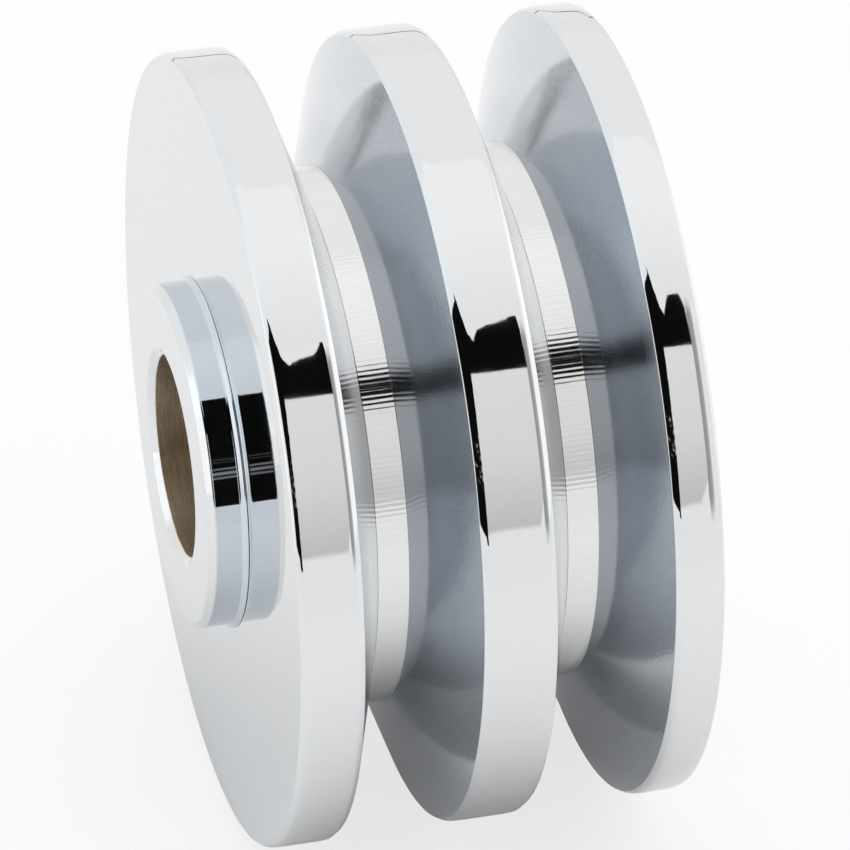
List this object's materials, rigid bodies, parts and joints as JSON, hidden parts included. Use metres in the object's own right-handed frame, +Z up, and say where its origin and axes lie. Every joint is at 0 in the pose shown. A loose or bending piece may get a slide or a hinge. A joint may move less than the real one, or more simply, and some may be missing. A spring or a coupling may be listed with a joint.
{
  "type": "v-belt pulley",
  "caption": "Chrome-plated steel pulley with two side-by-side V-belt grooves, beveled rims, a short raised nose around a plain shaft bore, and a nut recess in the back.",
  "frame": {"origin": "on the bore axis, half way along the pulley between the nose face and the back of the rear flange", "axes": "+Y along the bore axis, from the nose towards the back; the pulley turns about it; +Z up"},
  "size_m": [0.0668, 0.0384, 0.0668],
  "materials": {
    "polished_chrome": "mirror-polished chrome plate; satin, faintly grained plate on the groove walls",
    "nose_chrome": "mirror-polished chrome plate outside, bare brownish turned steel inside the bore",
    "groove_chrome": "bright chrome plate over fine turning chatter"
  },
  "bodies": {
    "root": {"hub_sleeve": "nose_chrome", "front_flange": "polished_chrome", "front_groove_ring": "groove_chrome", "centre_flange": "polished_chrome", "rear_groove_ring": "groove_chrome", "rear_flange": "polished_chrome"}
  },
  "joints": []
}
